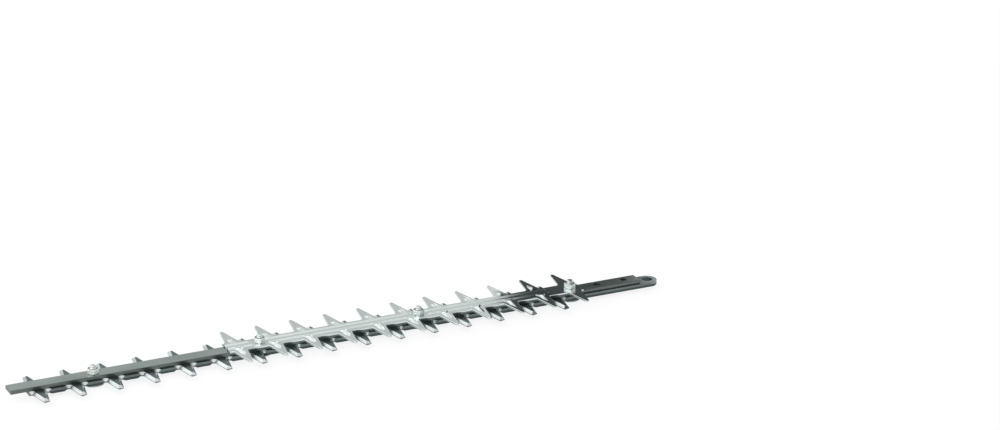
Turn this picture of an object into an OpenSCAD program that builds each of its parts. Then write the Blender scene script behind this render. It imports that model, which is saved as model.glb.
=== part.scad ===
// Double-sided hedge trimmer blade: a guide bar on top, two reciprocating
// cutter blades under it, a pressed tooth guard over its rear, and guide bolts
// that clamp the stack and let the blades slide on collars.
// Millimetres. +X runs along the blade towards the gear case, +Z up.
// Origin: centre of the two gear case holes, on the top face of the guide bar.

/* [Guide bar] */
// Length of the guide bar, free end to tail
bar_l = 645; // [620:5:700]
// Width of the guide bar
bar_w = 15; // [13:0.5:16]
// Thickness of the guide bar
bar_t = 3.8; // [3:0.2:5]
// Distance between the two gear case holes
mount_pitch = 30; // [26:1:36]
// Tail end of the bar to the centre of the gear case holes
mount_back = 30; // [26:1:36]
// Diameter of the gear case holes
mount_d = 6.5; // [5.5:0.1:7]
// Chamfer round the top edges of the bar
bar_chamfer = 0.3; // [0.2:0.1:0.6]

/* [Cutter blades] */
// Distance from one tooth to the next
pitch = 35; // [33:0.5:37]
// Number of tooth pairs
cutter_count = 16; // [10:1:16]
// Thickness of one blade
blade_t = 2.2; // [1.8:0.1:2.6]
// Width of the blade between opposite gullets
spine_w = 20.4; // [19:0.2:22]
// Width of the blade over the tooth tips
cutter_w = 61; // [56:1:66]
// Width of a tooth at its tip
cutter_tip_w = 5.8; // [5:0.1:7]
// Angle of a tooth flank from square across
cutter_flank = 11; // [8:0.5:13]
// Radius of the cutting edge in the corner between tooth and gullet
cutter_root_r = 1.2; // [0.8:0.1:2]
// Width of the ground bevel on the edges
bevel_w = 2.6; // [1.6:0.1:3]
// Height of the square land left under the bevel
edge_land = 0.2; // [0.1:0.05:0.4]
// Depth that the grinding of the corner goes into tooth and gullet
root_dip = 0.2; // [0.1:0.05:0.4]
// Free end of the bar to the first tooth
first_cutter = 26; // [24:0.5:30]
// Free end of the blade to the first tooth
blade_lead = 9.2; // [8.5:0.1:11]
// Length that each blade travels, end to end
stroke = 17.5; // [14:0.5:18]
// Sliding clearance between the flat faces
slide_gap = 0.1; // [0.05:0.05:0.2]
// Diameter of the drive eye in the tail
eye_d = 10; // [8:0.5:11]
// Centre of the drive eye past the end of the bar
eye_past = 12; // [8:1:18]
// Width of the blade at its tail
tail_w = 19; // [18:0.5:20]

/* [Tooth guard] */
// Number of guard tooth pairs
guard_count = 11; // [8:1:11]
// Free end of the bar to the first guard tooth
first_guard = 219.9; // [216:0.1:224]
// Sheet thickness
guard_t = 1.8; // [1.4:0.1:2.2]
// Width over the guard tooth tips
guard_w = 77; // [72:1:82]
// Radius of the guard tooth tip
guard_tip_r = 2; // [1.6:0.1:2.8]
// Angle of a guard tooth flank from square across
guard_flank = 11; // [8:0.2:12]
// Radius in the corner between guard tooth and gullet
guard_root_r = 3.5; // [3:0.25:5]
// Width of the guard between opposite gullets
guard_spine_w = 20.4; // [19:0.2:22]
// First guard tooth to the free end of the guard
guard_lead = 10.2; // [9.6:0.1:12]
// Height of the two long ribs
rib_h = 1.6; // [1.2:0.1:2]
// Centre of the guard to the inner foot of a rib
rib_inner = 2.2; // [1.8:0.1:2.6]
// Centre of the guard to the outer foot of a rib
rib_outer = 6; // [5.6:0.1:6.4]
// Height of the pressed rib on a tooth
fin_h = 2; // [1.6:0.1:2.6]
// Half width of the flared root of a tooth rib, inside the long rib
fin_root_w = 7; // [5:0.5:9]
// Centre of the guard to the neck, where the flared root ends
fin_neck = 9; // [8:0.5:10]
// Centre of the guard to the highest point of a tooth rib
fin_peak = 11; // [9.5:0.5:13]
// Centre of the guard to the shoulders, where a tooth rib starts to close
fin_shoulder = 18; // [16:0.5:20]
// Centre of the guard to the point of a tooth rib
fin_reach = 25; // [22:0.5:27]
// Half width of a tooth rib between its neck and its shoulders
fin_half_w = 2.8; // [2.2:0.1:3.4]
// Radius of the flat pad round a guide bolt
pad_r = 8; // [7:0.25:9]
// Flat length of the guard at its gear case end
guard_flat_l = 35; // [30:1:36]

/* [Guide bolts] */
// Free end of the bar to the first guide bolt
first_bolt = 80.2; // [76:0.2:84]
// Distance between guide bolts
bolt_pitch = 163.3; // [160:0.1:166]
// Number of guide bolts
bolt_count = 4; // [2:1:4]
// Bolt thread diameter
bolt_d = 6; // [5:0.5:6]
// Diameter of the low bolt head
head_d = 12; // [11:0.5:14]
// Height of the low bolt head
head_h = 2; // [1.6:0.1:2.6]
// Width across flats of the key socket in the head
socket_af = 4; // [3:0.5:4]
// Depth of the key socket
socket_depth = 3; // [2:0.5:4]
// Washer diameter
washer_d = 20.5; // [18:0.5:22]
// Washer thickness
washer_t = 1.4; // [1:0.1:2]
// Outside diameter of the guide collar
collar_d = 9; // [8.5:0.1:9.5]
// Nut width across flats
nut_af = 10; // [9:0.5:11]
// Nut height
nut_h = 5; // [4:0.2:6]
// Turn of the nut flats from the line of the bar
nut_turn = 19; // [0:1:59]
// Width of the chamfer on both faces of a nut, inside its flats
nut_chamfer = 0.5; // [0.2:0.1:0.8]
// Slope of the nut chamfers
nut_slope = 30; // [20:5:45]
// Length of bolt that stands out of the nut
bolt_out = 3; // [2:0.2:4]
// Rounding of the bolt end
bolt_end_r = 1.2; // [0.8:0.1:1.6]

/* [Fits] */
// Radial clearance of a bolt in its hole
bolt_clear = 0.1; // [0.05:0.05:0.3]
// Radial clearance of the thread in a nut
thread_clear = 0.05; // [0.02:0.01:0.1]
// Radial clearance of a collar in a blade slot
slot_clear = 0.08; // [0.05:0.01:0.1]

/* [Hidden] */
// Segments of the round ends and fillets in the outlines
root_steps = 6;
tip_steps = 5;
tail_steps = 12;
$fn = 48;
// Overrun of every cut past the face that it opens
over = 1;

// Places along the blade, from the origin at the gear case holes
bar_x0 = mount_back - bar_l;
bar_x1 = mount_back;
cutter_x0 = bar_x0 + first_cutter;
guard_x0 = bar_x0 + first_guard;
bolt_x = [for (i = [0:bolt_count - 1]) bar_x0 + first_bolt + i * bolt_pitch];
blade_x0 = cutter_x0 - blade_lead;
eye_x = bar_x1 + eye_past;
last_cutter_x = cutter_x0 + (cutter_count - 1) * pitch;
tail_x = last_cutter_x + pitch / 2;
guard_start = guard_x0 - guard_lead;
guard_end = guard_x0 + (guard_count - 1) * pitch + guard_lead;

// Levels of the stack, from the top face of the bar down
upper_z = -bar_t - slide_gap - blade_t;
lower_z = upper_z - slide_gap;
washer_z = lower_z - blade_t - slide_gap - washer_t;
head_z = washer_z - head_h;
collar_l = 2 * blade_t + 3 * slide_gap;

// Slots of the blades
slot_w = collar_d + 2 * slot_clear;
slot_half_l = stroke / 2;

// The first guide bolt holds the bare bar, the others pass through the guard
function seat_z(i) = bolt_x[i] > guard_start && bolt_x[i] < guard_end ? guard_t : 0;

// Points on an arc round [cx, cy] from angle a0 to angle a1
function arc(cx, cy, r, a0, a1, steps) =
    [for (i = [0:steps]) let(a = a0 + (a1 - a0) * i / steps) [cx + r * cos(a), cy + r * sin(a)]];

// Mirror images of a list of points, with the order turned round
function flip_x(pts) = [for (i = [len(pts) - 1:-1:0]) [-pts[i][0], pts[i][1]]];
function turn_over(pts) = [for (p = pts) [-p[0], -p[1]]];
function shift_x(pts, dx) = [for (p = pts) [p[0] + dx, p[1]]];

// Half width of a cutter tooth at a distance y from the centre line
function tooth_half(y) = cutter_tip_w / 2 + (cutter_w / 2 - y) * tan(cutter_flank);

// Centre of the ground corner on the +X side of a tooth that points to -Y, and
// the place on the flank that lies nearest to it
root_y = root_dip - cutter_root_r - spine_w / 2;
root_x = tooth_half(-root_y) + (cutter_root_r - root_dip) / cos(cutter_flank);
flank_foot = [
    root_x - (cutter_root_r - root_dip) * cos(cutter_flank),
    root_y + (cutter_root_r - root_dip) * sin(cutter_flank)
];

// Steepness of the bevel
bevel_rise = (blade_t - edge_land) / bevel_w;

// Blank of a whole blade: its teeth run into the gullets with a plain corner
module blade_blank() {
    gullet = spine_w / 2;
    tip = [cutter_tip_w / 2, -cutter_w / 2];
    side = [tip, flank_foot, [root_x, -gullet]];
    tooth = concat(flip_x(side), side);
    near = [for (k = [0:cutter_count - 1]) each shift_x(tooth, cutter_x0 + k * pitch)];
    far = [for (k = [cutter_count - 1:-1:0]) each shift_x(turn_over(tooth), cutter_x0 + k * pitch)];
    neck = gullet - tail_w / 2;
    linear_extrude(blade_t) polygon(concat(
        [[cutter_x0 - root_x - over, gullet], [cutter_x0 - root_x - over, -gullet]],
        near,
        [[tail_x, -gullet], [tail_x + neck, -tail_w / 2]],
        arc(eye_x, 0, tail_w / 2, -90, 90, tail_steps),
        [[tail_x + neck, tail_w / 2], [tail_x, gullet]],
        far
    ));
}

// Metal ground off a straight edge along the X axis, with the blade on the +Y side
module edge_grind(length) {
    rotate([90, 0, 90]) linear_extrude(length) polygon([
        [-over, edge_land - over * bevel_rise],
        [bevel_w + over / bevel_rise, blade_t + over],
        [-over, blade_t + over]
    ]);
}

// Metal ground off both flanks and both corners of a tooth that points to -Y
module tooth_grind() {
    flank_l = (cutter_w / 2 + flank_foot[1]) / cos(cutter_flank);
    for (side = [0, 1]) mirror([side, 0, 0]) {
        translate([root_x, root_y, 0]) rotate_extrude() polygon([
            [0, -over], [cutter_root_r, -over], [cutter_root_r, edge_land],
            [cutter_root_r + bevel_w + over / bevel_rise, blade_t + over], [0, blade_t + over]
        ]);
        translate([cutter_tip_w / 2, -cutter_w / 2, 0]) rotate([0, 0, 90 - cutter_flank])
            translate([-over, 0, 0]) edge_grind(flank_l + over);
    }
}

// Slot with round ends along X, cut right through a plate that stands on z = 0
module slot(x0, x1, w, plate) {
    translate([x0, -w / 2, -over]) cube([x1 - x0, w, plate + 2 * over]);
    for (x = [x0, x1]) translate([x, 0, -over]) cylinder(d = w, h = plate + 2 * over);
}

// One cutter blade with its cutting edges on z = 0 and its ground face up
module cutter_blade() {
    difference() {
        blade_blank();
        for (turn = [0, 180]) {
            for (k = [0:cutter_count - 1])
                translate([cutter_x0 + k * pitch, 0, 0]) rotate([0, 0, turn]) tooth_grind();
            rotate([0, 0, turn]) translate([-bar_l, -cutter_w / 2, 0]) edge_grind(2 * bar_l);
        }
        translate([blade_x0 - root_x, -cutter_w / 2, -over])
            cube([root_x, cutter_w, blade_t + 2 * over]);
        for (x = bolt_x) slot(x - slot_half_l, x + slot_half_l, slot_w, blade_t);
        slot(-mount_pitch / 2 - slot_half_l, mount_pitch / 2 + slot_half_l, slot_w, blade_t);
        translate([eye_x, 0, -over]) cylinder(d = eye_d, h = blade_t + 2 * over);
    }
}

// The blades are one pressing: the lower one is turned over, edge to edge
module upper_blade() {
    color([0.36, 0.41, 0.42]) translate([0, 0, upper_z]) cutter_blade();
}

module lower_blade() {
    color([0.32, 0.37, 0.38]) translate([0, 0, lower_z]) rotate([180, 0, 0]) cutter_blade();
}

module guide_bar() {
    color([0.53, 0.57, 0.56])
    difference() {
        translate([bar_x0, 0, 0]) rotate([90, 0, 90]) linear_extrude(bar_l)
            polygon([
                [-bar_w / 2, -bar_t], [bar_w / 2, -bar_t],
                [bar_w / 2, -bar_chamfer], [bar_w / 2 - bar_chamfer, 0],
                [bar_chamfer - bar_w / 2, 0], [-bar_w / 2, -bar_chamfer]
            ]);
        for (x = bolt_x) translate([x, 0, -bar_t - over])
            cylinder(d = bolt_d + 2 * bolt_clear, h = bar_t + 2 * over);
        for (x = [-mount_pitch / 2, mount_pitch / 2]) translate([x, 0, -bar_t - over])
            cylinder(d = mount_d, h = bar_t + 2 * over);
    }
}

// One flank of a guard tooth on the -Y side, from the gullet round to its tip
function guard_flank_pts() =
    let(
        cy = -guard_spine_w / 2 - guard_root_r,
        tip_y = guard_tip_r - guard_w / 2,
        half = guard_tip_r / cos(guard_flank) + (cy - tip_y) * tan(guard_flank),
        cx = -half - guard_root_r / cos(guard_flank)
    )
    concat(
        arc(cx, cy, guard_root_r, 90, guard_flank, root_steps),
        arc(0, tip_y, guard_tip_r, 180 + guard_flank, 270, tip_steps)
    );

module guard_outline() {
    flank = guard_flank_pts();
    back = flip_x(flank);
    tooth = concat(flank, [for (i = [1:len(back) - 1]) back[i]]);
    near = [for (k = [0:guard_count - 1]) each shift_x(tooth, guard_x0 + k * pitch)];
    far = [for (k = [guard_count - 1:-1:0]) each shift_x(turn_over(tooth), guard_x0 + k * pitch)];
    edge = guard_spine_w / 2;
    polygon(concat(
        [[guard_start, edge], [guard_start, -edge]],
        [for (p = near) [max(guard_start, min(guard_end, p[0])), p[1]]],
        [[guard_end, -edge], [guard_end, edge]],
        [for (p = far) [max(guard_start, min(guard_end, p[0])), p[1]]]
    ));
}

// Long rib of the guard, on one side of its centre line
module rib(side) {
    rib_x1 = guard_end - guard_flat_l;
    translate([guard_start - over, 0, 0]) rotate([90, 0, 90])
        linear_extrude(rib_x1 - guard_start + over)
        polygon([
            [side * rib_inner, 0], [side * (rib_inner + rib_h), rib_h],
            [side * (rib_outer - rib_h), rib_h], [side * rib_outer, 0]
        ]);
}

// Rib pressed into one tooth: a narrow pointed bead whose root flares out into
// the long rib. Its faces rise from the outline of the foot to one highest point
module fin(side) {
    foot = [
        [-fin_root_w, rib_inner], [fin_root_w, rib_inner], [fin_half_w, fin_neck],
        [fin_half_w, fin_shoulder], [0, fin_reach], [-fin_half_w, fin_shoulder],
        [-fin_half_w, fin_neck]
    ];
    last = len(foot) - 1;
    faces = concat(
        [[for (i = [0:last]) i]],
        [for (i = [0:last]) [i == last ? 0 : i + 1, i, last + 1]]
    );
    polyhedron(
        points = concat([for (p = foot) [p[0], side * p[1], 0]], [[0, side * fin_peak, fin_h]]),
        faces = [for (f = faces) side > 0 ? f : [for (k = [len(f) - 1:-1:0]) f[k]]]
    );
}

// All that is pressed up out of the flat sheet, flattened round the bolts
module embossing() {
    difference() {
        union() {
            for (side = [-1, 1]) {
                rib(side);
                for (k = [0:guard_count - 2]) translate([guard_x0 + k * pitch, 0, 0]) fin(side);
            }
        }
        for (i = [0:bolt_count - 1]) if (seat_z(i) > 0) translate([bolt_x[i], 0, -over])
            cylinder(r1 = pad_r - over, r2 = pad_r + fin_h + over, h = fin_h + 2 * over);
        translate([guard_end - guard_flat_l, guard_w / 2 + over, 0]) rotate([90, 0, 0])
            linear_extrude(guard_w + 2 * over)
            polygon([
                [over, -over], [guard_flat_l + over, -over], [guard_flat_l + over, fin_h + over],
                [-fin_h - over, fin_h + over]
            ]);
    }
}

module tooth_guard() {
    color([0.75, 0.77, 0.76])
    difference() {
        intersection() {
            translate([0, 0, -over]) linear_extrude(guard_t + fin_h + 2 * over) guard_outline();
            union() {
                translate([guard_start - over, -guard_w / 2 - over, 0])
                    cube([guard_end - guard_start + 2 * over, guard_w + 2 * over, guard_t]);
                translate([0, 0, guard_t]) embossing();
            }
        }
        embossing();
        for (i = [0:bolt_count - 1]) if (seat_z(i) > 0) translate([bolt_x[i], 0, -over])
            cylinder(d = bolt_d + 2 * bolt_clear, h = guard_t + 2 * over);
    }
}

// Low-head bolt, put in from below, with a domed end above the nut
module guide_bolt(i) {
    top = seat_z(i) + nut_h + bolt_out;
    color([0.62, 0.65, 0.64])
    translate([bolt_x[i], 0, 0])
    difference() {
        rotate_extrude() polygon(concat(
            [[0, head_z], [head_d / 2, head_z], [head_d / 2, washer_z], [bolt_d / 2, washer_z]],
            arc(bolt_d / 2 - bolt_end_r, top - bolt_end_r, bolt_end_r, 0, 90, tip_steps),
            [[0, top]]
        ));
        translate([0, 0, head_z - over])
            cylinder(d = socket_af / cos(30), h = socket_depth + over, $fn = 6);
    }
}

// Collar on the bolt: it spaces the bar from the washer, and the blades slide on it
module guide_collar(i) {
    color([0.55, 0.57, 0.56])
    translate([bolt_x[i], 0, -bar_t - collar_l])
    difference() {
        cylinder(d = collar_d, h = collar_l);
        translate([0, 0, -over]) cylinder(d = bolt_d + 2 * bolt_clear, h = collar_l + 2 * over);
    }
}

module washer(i) {
    color([0.45, 0.48, 0.48])
    translate([bolt_x[i], 0, washer_z])
    difference() {
        cylinder(d = washer_d, h = washer_t);
        translate([0, 0, -over]) cylinder(d = bolt_d + 2 * bolt_clear, h = washer_t + 2 * over);
    }
}

// Hexagon nut with both faces chamfered
module nut(i) {
    corner = nut_af / cos(30);
    face_r = nut_af / 2 - nut_chamfer;
    blank_r = corner / 2 + over;
    rise = (blank_r - face_r) * tan(nut_slope);
    color([0.8, 0.83, 0.82])
    translate([bolt_x[i], 0, seat_z(i)])
    difference() {
        intersection() {
            rotate([0, 0, nut_turn]) cylinder(d = corner, h = nut_h, $fn = 6);
            rotate_extrude() polygon([
                [0, 0], [face_r, 0], [blank_r, rise],
                [blank_r, nut_h - rise], [face_r, nut_h], [0, nut_h]
            ]);
        }
        translate([0, 0, -over]) cylinder(d = bolt_d + 2 * thread_clear, h = nut_h + 2 * over);
    }
}

guide_bar();
upper_blade();
lower_blade();
tooth_guard();
for (i = [0:bolt_count - 1]) {
    guide_bolt(i);
    guide_collar(i);
    washer(i);
    nut(i);
}
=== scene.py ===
"""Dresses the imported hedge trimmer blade: a guide bar, two sliding cutter blades,
a pressed tooth guard and the guide bolts that hold the stack together."""
import math

import bpy
import numpy as np
from mathutils import Matrix, Vector


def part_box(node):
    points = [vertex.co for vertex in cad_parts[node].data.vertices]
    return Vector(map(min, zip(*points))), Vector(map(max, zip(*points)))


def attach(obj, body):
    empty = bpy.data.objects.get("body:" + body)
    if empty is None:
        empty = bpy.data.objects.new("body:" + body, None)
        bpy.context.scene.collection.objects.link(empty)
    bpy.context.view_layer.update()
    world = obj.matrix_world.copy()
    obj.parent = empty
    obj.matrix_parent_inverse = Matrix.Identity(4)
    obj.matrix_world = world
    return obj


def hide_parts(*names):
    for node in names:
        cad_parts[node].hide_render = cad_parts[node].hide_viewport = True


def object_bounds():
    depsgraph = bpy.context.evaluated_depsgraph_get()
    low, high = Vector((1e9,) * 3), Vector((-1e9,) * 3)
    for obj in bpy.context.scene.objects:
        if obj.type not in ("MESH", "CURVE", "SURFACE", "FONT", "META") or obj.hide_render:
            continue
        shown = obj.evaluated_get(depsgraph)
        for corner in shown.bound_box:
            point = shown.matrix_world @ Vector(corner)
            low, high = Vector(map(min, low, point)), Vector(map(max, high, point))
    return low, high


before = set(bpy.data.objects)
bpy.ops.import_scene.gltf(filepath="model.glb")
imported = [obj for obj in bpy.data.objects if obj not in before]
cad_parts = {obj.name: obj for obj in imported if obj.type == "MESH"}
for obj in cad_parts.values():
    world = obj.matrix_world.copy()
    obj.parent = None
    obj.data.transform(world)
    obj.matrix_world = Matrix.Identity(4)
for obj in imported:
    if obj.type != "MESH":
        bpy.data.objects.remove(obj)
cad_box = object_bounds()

# Camera
# It looks down on the blade from its free end and its near side, through a
# long lens, with the frame tipped by half a degree.
mm = 0.001
camera_turn = math.radians(-26.775)
camera_rise = math.radians(19.981)
camera_tilt = math.radians(0.559)
camera_distance = 2820.0 * mm
aim_from = Vector((-236.75, 0, 0)) * mm
aim_right = 103.379 * mm
aim_up = 100.369 * mm
focal_length = 106.69
sensor_width = 36.0
farthest_seen = 50.0

back = Vector((
    math.sin(camera_turn) * math.cos(camera_rise),
    -math.cos(camera_turn) * math.cos(camera_rise),
    math.sin(camera_rise),
))
level = (-back).cross(Vector((0, 0, 1))).normalized()
rise = level.cross(-back)
right = level * math.cos(camera_tilt) + rise * math.sin(camera_tilt)
up = rise * math.cos(camera_tilt) - level * math.sin(camera_tilt)
camera_aim = aim_from + aim_right * right + aim_up * up
lens = bpy.data.cameras.new("view")
lens.lens = focal_length
lens.sensor_width = sensor_width
lens.clip_end = farthest_seen
camera = bpy.data.objects.new("view", lens)
place = Matrix((right, up, back)).transposed().to_4x4()
place.translation = camera_aim + back * camera_distance
camera.matrix_world = place
bpy.context.scene.collection.objects.link(camera)
bpy.context.scene.camera = camera
bpy.context.scene.view_settings.view_transform = "Standard"


# Studio
# A pale room with even walls, a brighter haze over them, a dimmer ceiling and a
# bright patch overhead. Four soft lamps whiten ground edges, tooth roots and nuts.
def shader_nodes(tree, *kinds):
    """Adds one node of each kind to a node tree and returns them in that order."""
    return [tree.nodes.new("ShaderNode" + kind) for kind in kinds]


def join(tree, *pairs):
    """Links pairs of sockets in a node tree."""
    for start, end in pairs:
        tree.links.new(start, end)


def ramp_stops(ramp, stops):
    """Sets a colour ramp's stops, given as (place, colour), with plain numbers as greys."""
    points = ramp.color_ramp.elements
    while len(points) < len(stops):
        points.new(1.0)
    for point, (where, tone) in zip(points, stops):
        point.position = where
        point.color = (tone, tone, tone, 1) if isinstance(tone, (int, float)) else (*tone, 1)


# Light of each zone of the room, and the heights between which it is even, as the
# upward part of the direction
wall_light = 0.52
wall_top = 0.4
haze_light = 0.75
haze_low = 0.62
haze_high = 0.72
ceiling_light = 0.5
ceiling_low = 0.78
ceiling_high = 0.87
patch_light = 0.88
patch_low = 0.92
room = bpy.data.worlds.new("room")
bpy.context.scene.world = room
room.use_nodes = True
room_tree = room.node_tree
room_tree.nodes.clear()
room_light, room_out = shader_nodes(room_tree, "Background", "OutputWorld")
direction, height, walls = shader_nodes(room_tree, "TexCoord", "SeparateXYZ", "ValToRGB")
ramp_stops(walls, [
    (0.0, wall_light), (wall_top, wall_light), (haze_low, haze_light), (haze_high, haze_light),
    (ceiling_low, ceiling_light), (ceiling_high, ceiling_light),
    (patch_low, patch_light), (1.0, patch_light),
])
join(
    room_tree,
    (direction.outputs["Generated"], height.inputs[0]),
    (height.outputs["Z"], walls.inputs[0]),
    (walls.outputs["Color"], room_light.inputs["Color"]),
    (room_light.outputs[0], room_out.inputs["Surface"]),
)

blade_middle = Vector((-0.3, 0, 0))


def soft_lamp(name, toward, distance, size, power):
    """Square soft lamp in a direction from the middle of the blade, turned to face it.
    Distance and size are in metres and the power is in watts."""
    toward = Vector(toward).normalized()
    light = bpy.data.lights.new(name, "AREA")
    light.shape = "SQUARE"
    light.size = size
    light.energy = power
    stand = bpy.data.objects.new(name, light)
    stand.location = blade_middle + toward * distance
    stand.rotation_euler = toward.to_track_quat("Z", "Y").to_euler()
    bpy.context.scene.collection.objects.link(stand)


soft_lamp("edge_lamp", (-0.32, 0.74, 0.59), distance=1.6, size=1.3, power=1.75)
soft_lamp("root_lamp", (-0.79, 0.25, 0.56), distance=1.6, size=1.2, power=3.4)
soft_lamp("side_lamp", (0.7, 0.7, 0.14), distance=1.6, size=0.7, power=1.1)
soft_lamp("front_lamp", (-0.77, -0.54, 0.12), distance=1.8, size=0.9, power=7.0)

floor_reach = 12.0
floor_level = cad_box[0].z
floor_paint = 0.22
floor_glow_seen = 0.84
floor_glow_mirrored = 0.9


def flat_mesh(name, corners):
    """One flat face through the corners, in their order."""
    mesh = bpy.data.meshes.new(name)
    mesh.from_pydata([tuple(c) for c in corners], [], [tuple(range(len(corners)))])
    piece = bpy.data.objects.new(name, mesh)
    bpy.context.scene.collection.objects.link(piece)
    return piece


floor = flat_mesh("floor", [
    (-floor_reach, -floor_reach, floor_level), (floor_reach, -floor_reach, floor_level),
    (floor_reach, floor_reach, floor_level), (-floor_reach, floor_reach, floor_level),
])
floor_finish = bpy.data.materials.new("floor")
floor_finish.use_nodes = True
floor_tree = floor_finish.node_tree
floor_tree.nodes.clear()
paint, glow, both, floor_out = shader_nodes(
    floor_tree, "BsdfDiffuse", "Emission", "AddShader", "OutputMaterial")
rays, seen, mirrored_glow, strength = shader_nodes(floor_tree, "LightPath", "Math", "Math", "Math")
paint.inputs["Color"].default_value = (floor_paint, floor_paint, floor_paint, 1)
for gain, glow_value in ((seen, floor_glow_seen), (mirrored_glow, floor_glow_mirrored)):
    gain.operation = "MULTIPLY"
    gain.inputs[1].default_value = glow_value
strength.operation = "MAXIMUM"
join(
    floor_tree,
    (rays.outputs["Is Camera Ray"], seen.inputs[0]),
    (rays.outputs["Is Glossy Ray"], mirrored_glow.inputs[0]),
    (seen.outputs[0], strength.inputs[0]),
    (mirrored_glow.outputs[0], strength.inputs[1]),
    (strength.outputs[0], glow.inputs["Strength"]),
    (paint.outputs[0], both.inputs[0]),
    (glow.outputs[0], both.inputs[1]),
    (both.outputs[0], floor_out.inputs["Surface"]),
)
floor.data.materials.append(floor_finish)

# Dark screens
# A dark panel stands behind the fixing end of the blade and one hangs over it, out
# of the camera's sight. The bright guard mirrors both and darkens towards that end.
screen_left = -42 * mm
screen_right = 120 * mm
screen_back = 150 * mm
screen_top = 150 * mm
roof_front = -400 * mm
screen_paint = (0.04, 0.055, 0.06, 1)
screen_finish = bpy.data.materials.new("screen")
screen_finish.use_nodes = True
screen_finish.node_tree.nodes["Principled BSDF"].inputs["Base Color"].default_value = screen_paint
back_screen = flat_mesh("back_screen", [
    (screen_left, screen_back, floor_level), (screen_right, screen_back, floor_level),
    (screen_right, screen_back, screen_top), (screen_left, screen_back, screen_top),
])
roof_screen = flat_mesh("roof_screen", [
    (screen_left, roof_front, screen_top), (screen_right, roof_front, screen_top),
    (screen_right, screen_back, screen_top), (screen_left, screen_back, screen_top),
])
for screen in (back_screen, roof_screen):
    screen.data.materials.append(screen_finish)
    screen.visible_camera = False
    screen.visible_diffuse = False
    screen.visible_shadow = False


# Guide bar
# Flat steel, drawn and then ground on its top face, with a small chamfer. Its chamfer
# and narrow sides are coloured darker than the top as painted shade.
def srgb(red, green, blue):
    """Linear colour of a screen colour given as 0 to 255, by the sRGB curve."""
    screen_tone = np.array([red, green, blue]) / 255.0
    linear = np.where(screen_tone <= 0.04045, screen_tone / 12.92, ((screen_tone + 0.055) / 1.055) ** 2.4)
    return tuple(float(c) for c in linear)


def effect_group(name, inputs, outputs):
    """Empty shader group with named float inputs (name, value) and named outputs."""
    group = bpy.data.node_groups.new(name, "ShaderNodeTree")
    for label, value in inputs:
        socket = group.interface.new_socket(label, in_out="INPUT", socket_type="NodeSocketFloat")
        socket.default_value = value
    for label in outputs:
        group.interface.new_socket(label, in_out="OUTPUT", socket_type="NodeSocketFloat")
    return group, group.nodes.new("NodeGroupInput"), group.nodes.new("NodeGroupOutput")


# Fine lines left by drawing or grinding along X, and slow cloudy changes of tone
lines_group, lines_in, lines_out = effect_group(
    "drawn lines", [("Density", 900.0), ("Length", 12.0)], ["Lines", "Clouds"])
where, stretch, lines, clouds = shader_nodes(lines_group, "TexCoord", "VectorMath", "TexNoise", "TexNoise")
size_of, = shader_nodes(lines_group, "CombineXYZ")
stretch.operation = "MULTIPLY"
lines.inputs["Detail"].default_value = 3.0
lines.inputs["Scale"].default_value = 1.0
clouds.inputs["Scale"].default_value = 28.0
clouds.inputs["Detail"].default_value = 4.0
join(
    lines_group,
    (lines_in.outputs["Length"], size_of.inputs["X"]),
    (lines_in.outputs["Density"], size_of.inputs["Y"]),
    (lines_in.outputs["Density"], size_of.inputs["Z"]),
    (where.outputs["Object"], stretch.inputs[0]),
    (size_of.outputs[0], stretch.inputs[1]),
    (stretch.outputs[0], lines.inputs["Vector"]),
    (where.outputs["Object"], clouds.inputs["Vector"]),
    (lines.outputs["Fac"], lines_out.inputs["Lines"]),
    (clouds.outputs["Fac"], lines_out.inputs["Clouds"]),
)


def spread(tree, source, low, high, start=0.3, end=0.7):
    """Maps a value from start to end, which for a noise is its usual span, onto the
    span from low to high."""
    node, = shader_nodes(tree, "MapRange")
    for label, value in (("From Min", start), ("From Max", end), ("To Min", low), ("To Max", high)):
        node.inputs[label].default_value = value
    tree.links.new(source, node.inputs["Value"])
    return node.outputs["Result"]


# Upward part of a face's normal at which walls end, slopes start and end, and flats start
wall_end = 0.3
slope_start = 0.4
slope_end = 0.93
flat_start = 0.97
bump_strength = 0.5
rough_low_share = 0.85
rough_high_share = 1.2
side_turn = 0.2


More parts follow.
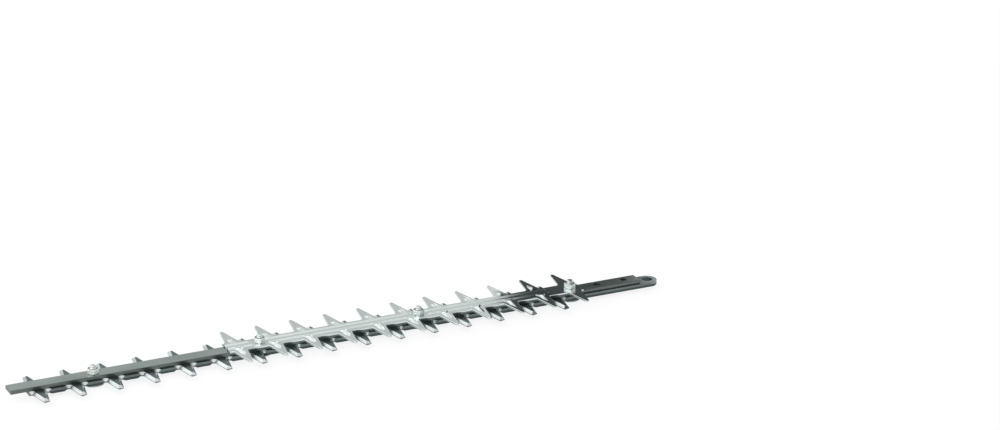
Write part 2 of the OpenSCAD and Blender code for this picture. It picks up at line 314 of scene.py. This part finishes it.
def steel(name, flat, slope, wall, rough, metal=1.0, density=900.0, length=12.0, depth=0.00001,
          cloud=0.12, grain=0.0, root_glint=None):
    """Steel whose tone follows which way a face points: flats that face up or down,
    slopes, and upright walls. On the upper blade these are blackened flats, ground
    slopes and cut walls; on the other pieces the differences are painted light and
    shade. Lines and clouds vary it, and root_glint (inner, outer, slope, wall) gives
    faces that face +X lighter, creamy tones near the X axis, as a painted highlight."""
    finish = bpy.data.materials.new(name)
    finish.use_nodes = True
    tree = finish.node_tree
    skin = tree.nodes["Principled BSDF"]
    skin.inputs["Metallic"].default_value = metal
    facing, parts, tilt, tone = shader_nodes(tree, "TexCoord", "SeparateXYZ", "Math", "ValToRGB")
    tilt.operation = "ABSOLUTE"
    ramp_stops(tone, [(wall_end, wall), (slope_start, slope), (slope_end, slope), (flat_start, flat)])
    marks, = shader_nodes(tree, "Group")
    marks.node_tree = lines_group
    marks.inputs["Density"].default_value = density
    marks.inputs["Length"].default_value = length
    vary, mixed, bump = shader_nodes(tree, "Math", "Mix", "Bump")
    vary.operation = "MULTIPLY"
    mixed.data_type = "RGBA"
    mixed.blend_type = "MULTIPLY"
    mixed.inputs["Factor"].default_value = 1.0
    bump.inputs["Strength"].default_value = bump_strength
    bump.inputs["Distance"].default_value = depth
    colour = tone.outputs["Color"]
    # Painted highlight: faces toward +X near the centre line get lighter, creamy tones
    if root_glint:
        inner, outer, inner_slope, inner_wall = root_glint
        place_of, away, glint_tone, glinted, near_root = shader_nodes(
            tree, "SeparateXYZ", "Math", "ValToRGB", "Mix", "Math")
        away.operation = "ABSOLUTE"
        near_root.operation = "MULTIPLY"
        ramp_stops(glint_tone, [
            (wall_end, inner_wall), (slope_start, inner_slope), (slope_end, inner_slope), (flat_start, flat)])
        glinted.data_type = "RGBA"
        join(
            tree,
            (facing.outputs["Object"], place_of.inputs[0]),
            (place_of.outputs["Y"], away.inputs[0]),
            (tilt.outputs[0], glint_tone.inputs[0]),
            (spread(tree, away.outputs[0], 1.0, 0.0, inner, outer), near_root.inputs[0]),
            (spread(tree, parts.outputs["X"], 0.0, 1.0, -side_turn, side_turn), near_root.inputs[1]),
            (near_root.outputs[0], glinted.inputs["Factor"]),
            (tone.outputs["Color"], glinted.inputs["A"]),
            (glint_tone.outputs["Color"], glinted.inputs["B"]),
        )
        colour = glinted.outputs["Result"]
    join(
        tree,
        (facing.outputs["Normal"], parts.inputs[0]),
        (parts.outputs["Z"], tilt.inputs[0]),
        (tilt.outputs[0], tone.inputs[0]),
        (spread(tree, marks.outputs["Clouds"], 1 - cloud, 1 + cloud), vary.inputs[0]),
        (spread(tree, marks.outputs["Lines"], 1 - grain, 1 + grain), vary.inputs[1]),
        (colour, mixed.inputs["A"]),
        (vary.outputs[0], mixed.inputs["B"]),
        (mixed.outputs["Result"], skin.inputs["Base Color"]),
        (spread(tree, marks.outputs["Lines"], rough * rough_low_share, rough * rough_high_share),
         skin.inputs["Roughness"]),
        (marks.outputs["Lines"], bump.inputs["Height"]),
        (bump.outputs["Normal"], skin.inputs["Normal"]),
    )
    return finish


def repaint(node, finish):
    """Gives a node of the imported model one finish."""
    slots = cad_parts[node].data.materials
    slots.clear()
    slots.append(finish)


# Painted shade: the chamfer and narrow sides get darker tones than the top
bar_steel = steel(
    "bar_steel", flat=srgb(172, 183, 179), slope=srgb(128, 136, 134), wall=srgb(100, 107, 105),
    rough=0.34, grain=0.06)
repaint("guide_bar", bar_steel)

# Cutter blades
# Two pressings of hardened strip, blackened on the flats and ground bright on the
# tooth edges. The tooth roots get a lighter, creamy tone on faces toward +X as a
# painted highlight. The lower one is turned over and coloured darker as painted shade.
# Painted highlight at the tooth roots on faces toward +X: where it fades out, and its tones
root_glint_inner = 10.4 * mm
root_glint_outer = 12.8 * mm
root_glint_slope = srgb(248, 248, 236)
root_glint_wall = srgb(124, 132, 131)
blade_steel = steel(
    "blade_steel", flat=srgb(118, 132, 132), slope=srgb(232, 238, 239), wall=srgb(82, 89, 91),
    rough=0.28, root_glint=(root_glint_inner, root_glint_outer, root_glint_slope, root_glint_wall))
# Painted shade: the lower blade is the same steel coloured darker, most of all on its ground edges
shaded_lower_steel = steel(
    "shaded_lower_steel", flat=srgb(98, 110, 113), slope=srgb(120, 127, 128), wall=srgb(70, 77, 79),
    rough=0.34)
repaint("upper_blade", blade_steel)
repaint("lower_blade", shaded_lower_steel)


# Guide collars and washers
# Turned steel: hardened collars that the slotted blades slide on, and flat washers
# with rounded rims under them that hold the blades up.
def loft(name, rings, closed_path=False):
    """Mesh through rings of points, an array (ring, point, xyz). Each ring is a closed
    loop, clockwise as seen from the path's end, and unless the path closes too, the
    first and last ring are capped."""
    count, size, _ = rings.shape
    index = np.arange(count * size).reshape(count, size)
    if closed_path:
        index = np.vstack([index, index[:1]])
    here, there = index[:-1], index[1:]
    quads = np.stack([here, there, np.roll(there, -1, 1), np.roll(here, -1, 1)], -1).reshape(-1, 4)
    faces = [tuple(q) for q in quads.tolist()]
    if not closed_path:
        faces += [tuple(index[0].tolist()), tuple(index[-1][::-1].tolist())]
    mesh = bpy.data.meshes.new(name)
    mesh.from_pydata(rings.reshape(-1, 3).tolist(), [], faces)
    return mesh


def turned_rings(centre_x, turn, radius, height):
    """Points of a profile carried round an upright axis at centre_x: radius and height
    are arrays (turn, point), and x and y are radius times the cosine and sine."""
    return np.stack([
        centre_x + radius * np.cos(turn)[:, None], radius * np.sin(turn)[:, None],
        height + 0 * radius], -1)


def rounded_step(radius, height, bend, start, end, steps=4):
    """Quarter arc of a profile round (radius, height), from one angle to another."""
    angle = np.radians(np.linspace(start, end, steps))
    return np.stack([radius + bend * np.cos(angle), height + bend * np.sin(angle)], -1)


def add_piece(name, mesh, finish, body, nodes, crease):
    """Puts a mesh into the scene as a smooth piece with sharp edges over the crease
    angle, on a body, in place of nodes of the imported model."""
    mesh.polygons.foreach_set("use_smooth", np.ones(len(mesh.polygons), bool))
    mesh.set_sharp_from_angle(angle=math.radians(crease))
    mesh.materials.append(finish)
    piece = bpy.data.objects.new(name, mesh)
    bpy.context.scene.collection.objects.link(piece)
    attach(piece, body)
    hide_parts(*nodes)
    return piece


# Painted shade and highlight: walls a little darker and rounded rims a little lighter than the flats
washer_steel = steel(
    "washer_steel", flat=srgb(170, 178, 178), slope=srgb(180, 186, 186), wall=srgb(150, 157, 157),
    rough=0.34)
bolt_numbers = range(1, 5)
bolt_r = 3.0 * mm
hole_r = bolt_r + 0.1 * mm
washer_bend = 0.25 * mm
washer_crease = 40
circle_points = 96
circle = np.linspace(0, 2 * math.pi, circle_points, endpoint=False)
for i in bolt_numbers:
    repaint("guide_collar_%d" % i, washer_steel)
    low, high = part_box("washer_%d" % i)
    washer_r = (high.x - low.x) / 2
    profile = np.concatenate([
        rounded_step(washer_r - washer_bend, low.z + washer_bend, washer_bend, -90, 0),
        rounded_step(washer_r - washer_bend, high.z - washer_bend, washer_bend, 0, 90),
        [[hole_r, high.z], [hole_r, low.z]],
    ])
    washer = turned_rings((low.x + high.x) / 2, circle, *np.repeat(profile.T[:, None], circle_points, 1))
    add_piece("washer_%d_rounded" % i, loft("washer_%d" % i, washer, True), washer_steel, "bar",
              ["washer_%d" % i], washer_crease)

# Tooth guard
# One pressing of bright plated sheet: two long ribs, a pointed bead with a flared
# root on every tooth, flat pads round the bolts, and a plain flat tail.
guard_low, guard_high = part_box("tooth_guard")
sheet_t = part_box("nut_2")[0].z
under_rim_r = 0.2 * mm
fin_h = guard_high.z - sheet_t
guard_pitch = 35.0 * mm
guard_teeth = 11
guard_lead = 10.2 * mm
spine_half = 10.2 * mm
tip_reach = guard_high.y
tip_r = 2.0 * mm
root_r = 3.5 * mm
flank = math.radians(11)
rim_r = 0.5 * mm
rib_h = 1.6 * mm
rib_inner = 2.2 * mm
rib_outer = 6.0 * mm
fin_root_w = 7.0 * mm
fin_half_w = 2.8 * mm
fin_neck = 9.0 * mm
fin_peak = 11.0 * mm
fin_shoulder = 18.0 * mm
fin_reach = 25.0 * mm
rib_bend = 0.4 * mm
fin_bend = 0.1 * mm
ridge_bend = 0.3 * mm
pad_r = 8.0 * mm
flat_tail = 35.0 * mm
gullet_points = 5
arc_points = 7
flank_points = 14
guard_x = guard_low.x + guard_lead + guard_pitch * np.arange(guard_teeth)
bolt_x = np.array([(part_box("washer_%d" % i)[0].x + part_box("washer_%d" % i)[1].x) / 2 for i in bolt_numbers])


def soft_min(a, b, blend):
    """Smaller of two values, with the corner rounded over about the blend."""
    return 0.5 * (a + b - np.sqrt((a - b) ** 2 + blend ** 2))


def soft_max(a, b, blend):
    """Larger of two values, with the corner rounded over about the blend."""
    return 0.5 * (a + b + np.sqrt((a - b) ** 2 + blend ** 2))


def guard_edge():
    """Outline of one pitch of the guard as x, distance from the centre line, and
    the outward normal: gullet, root arc, straight flank and tip arc, then mirrored."""
    root_v = spine_half + root_r
    tip_v = tip_reach - tip_r
    half = tip_r / math.cos(flank) + (tip_v - root_v) * math.tan(flank)
    root_x = -half - root_r / math.cos(flank)
    gullet_x = np.linspace(-guard_pitch / 2, root_x, gullet_points)[:-1]
    turn = np.linspace(math.pi / 2, flank, arc_points)
    arc_in = (root_x + root_r * np.cos(turn), root_v - root_r * np.sin(turn))
    tip_turn = np.linspace(math.pi + flank, 1.5 * math.pi, arc_points)
    arc_out = (tip_r * np.cos(tip_turn), tip_v - tip_r * np.sin(tip_turn))
    along = np.linspace(0, 1, flank_points)[1:-1]
    straight_x = arc_in[0][-1] + (arc_out[0][0] - arc_in[0][-1]) * along
    straight_v = arc_in[1][-1] + (arc_out[1][0] - arc_in[1][-1]) * along
    x = np.concatenate([gullet_x, arc_in[0], straight_x, arc_out[0]])
    v = np.concatenate([np.full_like(gullet_x, spine_half), arc_in[1], straight_v, arc_out[1]])
    nx = np.concatenate([
        np.zeros_like(gullet_x), -np.cos(turn), np.full_like(straight_x, -math.cos(flank)), np.cos(tip_turn)])
    nv = np.sqrt(1 - nx ** 2)
    mirrored = slice(-2, None, -1)
    return (np.concatenate([x, -x[mirrored]]), np.concatenate([v, v[mirrored]]),
            np.concatenate([nx, -nx[mirrored]]), np.concatenate([nv, nv[mirrored]]))


def bead_height(x, v):
    """Height of a tooth's bead at x from the tooth's middle line and v from the centre
    line: a pyramid over a foot with a flared root. In the sector between two corners of
    the foot, seen from the peak, the height is fin_h times one less the two shares of
    those corners, and it is nothing past the foot."""
    foot = np.array([
        [-fin_root_w, rib_inner], [fin_root_w, rib_inner], [fin_half_w, fin_neck], [fin_half_w, fin_shoulder],
        [0, fin_reach], [-fin_half_w, fin_shoulder], [-fin_half_w, fin_neck]])
    arms = foot - [0, fin_peak]
    height = np.zeros_like(x)
    for arm, following in zip(arms, np.roll(arms, -1, 0)):
        area = arm[0] * following[1] - arm[1] * following[0]
        share = (x * following[1] - (v - fin_peak) * following[0]) / area
        other = ((v - fin_peak) * arm[0] - x * arm[1]) / area
        height = np.where((share >= 0) & (other >= 0), fin_h * (1 - share - other), height)
    return np.maximum(height, 0)


def pressed_height(x, v):
    """Height of the pressing over the flat sheet at x and at the distance v from the
    centre line: the higher of the long rib, a ridge with sloping sides, and of the
    nearest tooth's bead, both held down by the bolt pads and the flat tail. The bead's
    ridges are rounded by a mean over three places side by side."""
    rib = soft_min(soft_min(v - rib_inner, rib_outer - v, rib_bend), rib_h + 0 * v, rib_bend)
    nearest = np.clip(np.round((x - guard_x[0]) / guard_pitch), 0, guard_teeth - 2)
    off = x - guard_x[0] - nearest * guard_pitch
    bead = sum(bead_height(off + step, v) for step in (-ridge_bend, 0, ridge_bend)) / 3
    height = soft_max(soft_max(rib, bead, rib_bend), 0 * v, fin_bend)
    for centre in bolt_x[1:3]:
        pad = soft_max(np.hypot(x - centre, v) - pad_r, 0 * v, rib_bend)
        height = soft_min(height, pad, rib_bend)
    tail = soft_max(guard_high.x - flat_tail - x, 0 * v, rib_bend)
    return np.maximum(soft_min(height, tail, rib_bend), 0)


def half_rows(rib_rows, outer_share):
    """Rows of the sheet from the centre line out to its inset edge, as the distance v
    for each column: fixed rows over the ribs, then shares of the way to the edge."""
    rib_rows = np.array(rib_rows) * mm
    return np.hstack([
        np.repeat(rib_rows[None], len(inset_v), 0),
        rib_rows[-1] + (inset_v[:, None] - rib_rows[-1]) * np.array(outer_share),
    ])


edge_x, edge_v, edge_nx, edge_nv = guard_edge()
all_x = (guard_x[:, None] + edge_x[None, :-1]).ravel()
all_v = np.tile(edge_v[:-1], guard_teeth)
all_nx = np.tile(edge_nx[:-1], guard_teeth)
all_nv = np.tile(edge_nv[:-1], guard_teeth)
kept = (all_x > guard_low.x + rim_r) & (all_x < guard_high.x - rim_r)
all_x = np.concatenate([[guard_low.x], all_x[kept], [guard_high.x]])
all_v = np.concatenate([[spine_half], all_v[kept], [spine_half]])
all_nx = np.concatenate([[0], all_nx[kept], [0]])
all_nv = np.concatenate([[1], all_nv[kept], [1]])
inset_x = all_x - all_nx * rim_r
inset_v = all_v - all_nv * rim_r

# Rows over the ribs in millimetres, closer where the ribs bend, then shares of the
# way to the edge, closer over the beads
upper_rib_rows = [
    0, 1.0, 1.7, 2.1, 2.4, 2.8, 3.2, 3.6, 3.9, 4.1, 4.3, 4.6, 5.0, 5.4, 5.8, 6.1, 6.5, 7.1, 8.0, 9.0]
lower_rib_rows = [0, 2.2, 3.0, 3.8, 4.4, 5.2, 6.0, 7.2, 9.0]
bead_share = 0.6
bead_points = 23
margin_points = 6
lower_points = 11
upper_v = half_rows(upper_rib_rows, np.concatenate([
    np.linspace(0, bead_share, bead_points)[1:], np.linspace(bead_share, 1, margin_points)[1:]]))
lower_v = half_rows(lower_rib_rows, np.linspace(0, 1, lower_points)[1:])[:, ::-1]
upper_x = np.repeat(inset_x[:, None], upper_v.shape[1], 1)
lower_x = np.repeat(inset_x[:, None], lower_v.shape[1], 1)
rim_turns = np.radians([30, 60, 90])
rim_x = inset_x[:, None] + all_nx[:, None] * rim_r * np.sin(rim_turns)
rim_v = inset_v[:, None] + all_nv[:, None] * rim_r * np.sin(rim_turns)
rim_drop = rim_r * (1 - np.cos(rim_turns)) + 0 * rim_x
rim_lift = under_rim_r / rim_r * rim_drop[:, ::-1]
half_x = np.hstack([upper_x, rim_x, rim_x[:, ::-1], lower_x])
half_v = np.hstack([upper_v, rim_v, rim_v[:, ::-1], lower_v])
half_z = np.hstack([
    sheet_t + pressed_height(upper_x, upper_v), sheet_t - rim_drop, rim_lift,
    pressed_height(lower_x, lower_v)])
far_side = np.stack([half_x, half_v, half_z], -1)
near_side = np.stack([half_x, -half_v, half_z], -1)[:, -2:0:-1]
guard_mesh = loft("tooth_guard_sheet", np.concatenate([far_side, near_side], 1))

plate_white = srgb(237, 246, 244)
guard_crease = 50
guard_steel = steel(
    "guard_steel", flat=plate_white, slope=plate_white, wall=srgb(210, 217, 219), rough=0.18,
    density=120.0, length=20.0, depth=0.000004, cloud=0.03)
add_piece("tooth_guard_sheet", guard_mesh, guard_steel, "bar", ["tooth_guard"], guard_crease)

# Guide bolts
# Low-head bolts with a key socket, put in from below. The thread shows on the end
# that stands out of the nut. They are zinc plated, as the nuts are.
# One plating coloured by facing: lighter on slopes such as thread flanks and the rounded end as painted
# highlight, darker on upright walls as painted shade
zinc = steel(
    "zinc_plated_steel", flat=srgb(232, 240, 238), slope=srgb(246, 250, 249), wall=srgb(196, 206, 204),
    rough=0.32, metal=0.92, density=500.0, length=500.0, depth=0.000006, cloud=0.05)
head_bend = 0.3 * mm
end_bend = 1.2 * mm
socket_half = 2.0 * mm
socket_deep = 3.0 * mm
thread_pitch = 1.0 * mm
thread_depth = 0.45 * mm
thread_points = 36
end_points = 7
bolt_crease = 40
corner_sharpness = 60.0


def hexagon(turn, half_width):
    """Radius of a hexagon at each angle from the middle of a flat: half the width over
    flats, divided by a high power mean of the cosines to its three flat directions."""
    reach = sum(np.abs(np.cos(turn - k * math.pi / 3)) ** corner_sharpness for k in range(3))
    return half_width / reach ** (1 / corner_sharpness)


def turned_solid(name, centre_x, turn, radius, height):
    """Mesh of a solid turned about an upright axis, as turned_rings gives it, with its
    first and last points drawn in to one pole each."""
    rings = turned_rings(centre_x, turn, radius, height)
    count, size, _ = rings.shape
    index = np.arange(count * size).reshape(count, size)
    following = np.roll(index, -1, 0)
    quads = np.stack([index[:, :-1], following[:, :-1], following[:, 1:], index[:, 1:]], -1).reshape(-1, 4)
    poles = np.array([[centre_x, 0, height[0, 0]], [centre_x, 0, height[0, -1]]])
    start = np.stack([np.full(count, count * size), following[:, 0], index[:, 0]], -1)
    end = np.stack([np.full(count, count * size + 1), index[:, -1], following[:, -1]], -1)
    mesh = bpy.data.meshes.new(name)
    points = np.concatenate([rings.reshape(-1, 3), poles])
    mesh.from_pydata(points.tolist(), [], quads.tolist() + start.tolist() + end.tolist())
    return mesh


for i in bolt_numbers:
    low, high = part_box("guide_bolt_%d" % i)
    nut_low, nut_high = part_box("nut_%d" % i)
    head_r = (high.x - low.x) / 2
    head_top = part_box("washer_%d" % i)[0].z
    socket = hexagon(circle, socket_half)
    below = np.concatenate([
        rounded_step(head_r - head_bend, low.z + head_bend, head_bend, -90, 0),
        [[head_r, head_top], [bolt_r, head_top]],
    ])
    thread_z = np.linspace(nut_high.z - thread_pitch, high.z - end_bend, thread_points)
    phase = (thread_z[None] / thread_pitch - circle[:, None] / (2 * math.pi)) % 1
    fade = np.clip((high.z - end_bend - thread_z) / (thread_pitch / 2), 0, 1)
    thread_r = bolt_r - thread_depth * (1 - np.abs(2 * phase - 1)) * fade
    above = rounded_step(bolt_r - end_bend, high.z - end_bend, end_bend, 0, 90, end_points)[1:]
    profiles = [
        (socket[:, None], np.full((circle_points, 1), low.z + socket_deep)),
        (socket[:, None], np.full((circle_points, 1), low.z)),
        tuple(np.repeat(below.T[:, None], circle_points, 1)),
        (thread_r, np.repeat(thread_z[None], circle_points, 0)),
        tuple(np.repeat(above.T[:, None], circle_points, 1)),
    ]
    radius = np.hstack([r for r, _ in profiles])
    height = np.hstack([z for _, z in profiles])
    bolt = turned_solid("guide_bolt_%d" % i, bolt_x[i - 1], circle, radius, height)
    add_piece("guide_bolt_%d_threaded" % i, bolt, zinc, "bar",
              ["guide_bolt_%d" % i], bolt_crease)

# Nuts
# Plain hexagon nuts, chamfered on both faces and countersunk at the thread, run
# down on the bolt ends until they clamp the guard and the bar.
nut_turn = math.radians(19)
nut_half = 5.0 * mm
nut_chamfer = 0.5 * mm
nut_slope = math.tan(math.radians(30))
countersink = 0.5 * mm
nut_bore_r = bolt_r + 0.05 * mm
nut_crease = 25
nut_points = 144
nut_circle = nut_turn + np.linspace(0, 2 * math.pi, nut_points, endpoint=False)
outer_r = hexagon(nut_circle - nut_turn - math.pi / 6, nut_half)
# One plating coloured by facing: dark flat faces as painted shade, near-white chamfers, countersinks and sides
# as painted highlight
lit_and_shaded_nut_zinc = steel(
    "zinc_plated_nut", flat=srgb(96, 108, 106), slope=srgb(250, 253, 251), wall=srgb(240, 246, 242),
    rough=0.42, metal=0.92, density=500.0, length=500.0, depth=0.000006, cloud=0.05)
for i in bolt_numbers:
    low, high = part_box("nut_%d" % i)
    face_r = nut_half - nut_chamfer + 0 * outer_r
    drop = (outer_r - face_r) * nut_slope
    bore_r = nut_bore_r + 0 * outer_r
    radius = np.stack([
        bore_r + countersink, face_r, outer_r, outer_r, face_r, bore_r + countersink, bore_r, bore_r], 1)
    height = np.stack([
        low.z + 0 * drop, low.z + 0 * drop, low.z + drop, high.z - drop, high.z + 0 * drop, high.z + 0 * drop,
        high.z - countersink + 0 * drop, low.z + countersink + 0 * drop], 1)
    nut = turned_rings(bolt_x[i - 1], nut_circle, radius, height)
    add_piece("nut_%d_hexagon" % i, loft("nut_%d" % i, nut, True), lit_and_shaded_nut_zinc, "bar",
              ["nut_%d" % i], nut_crease)
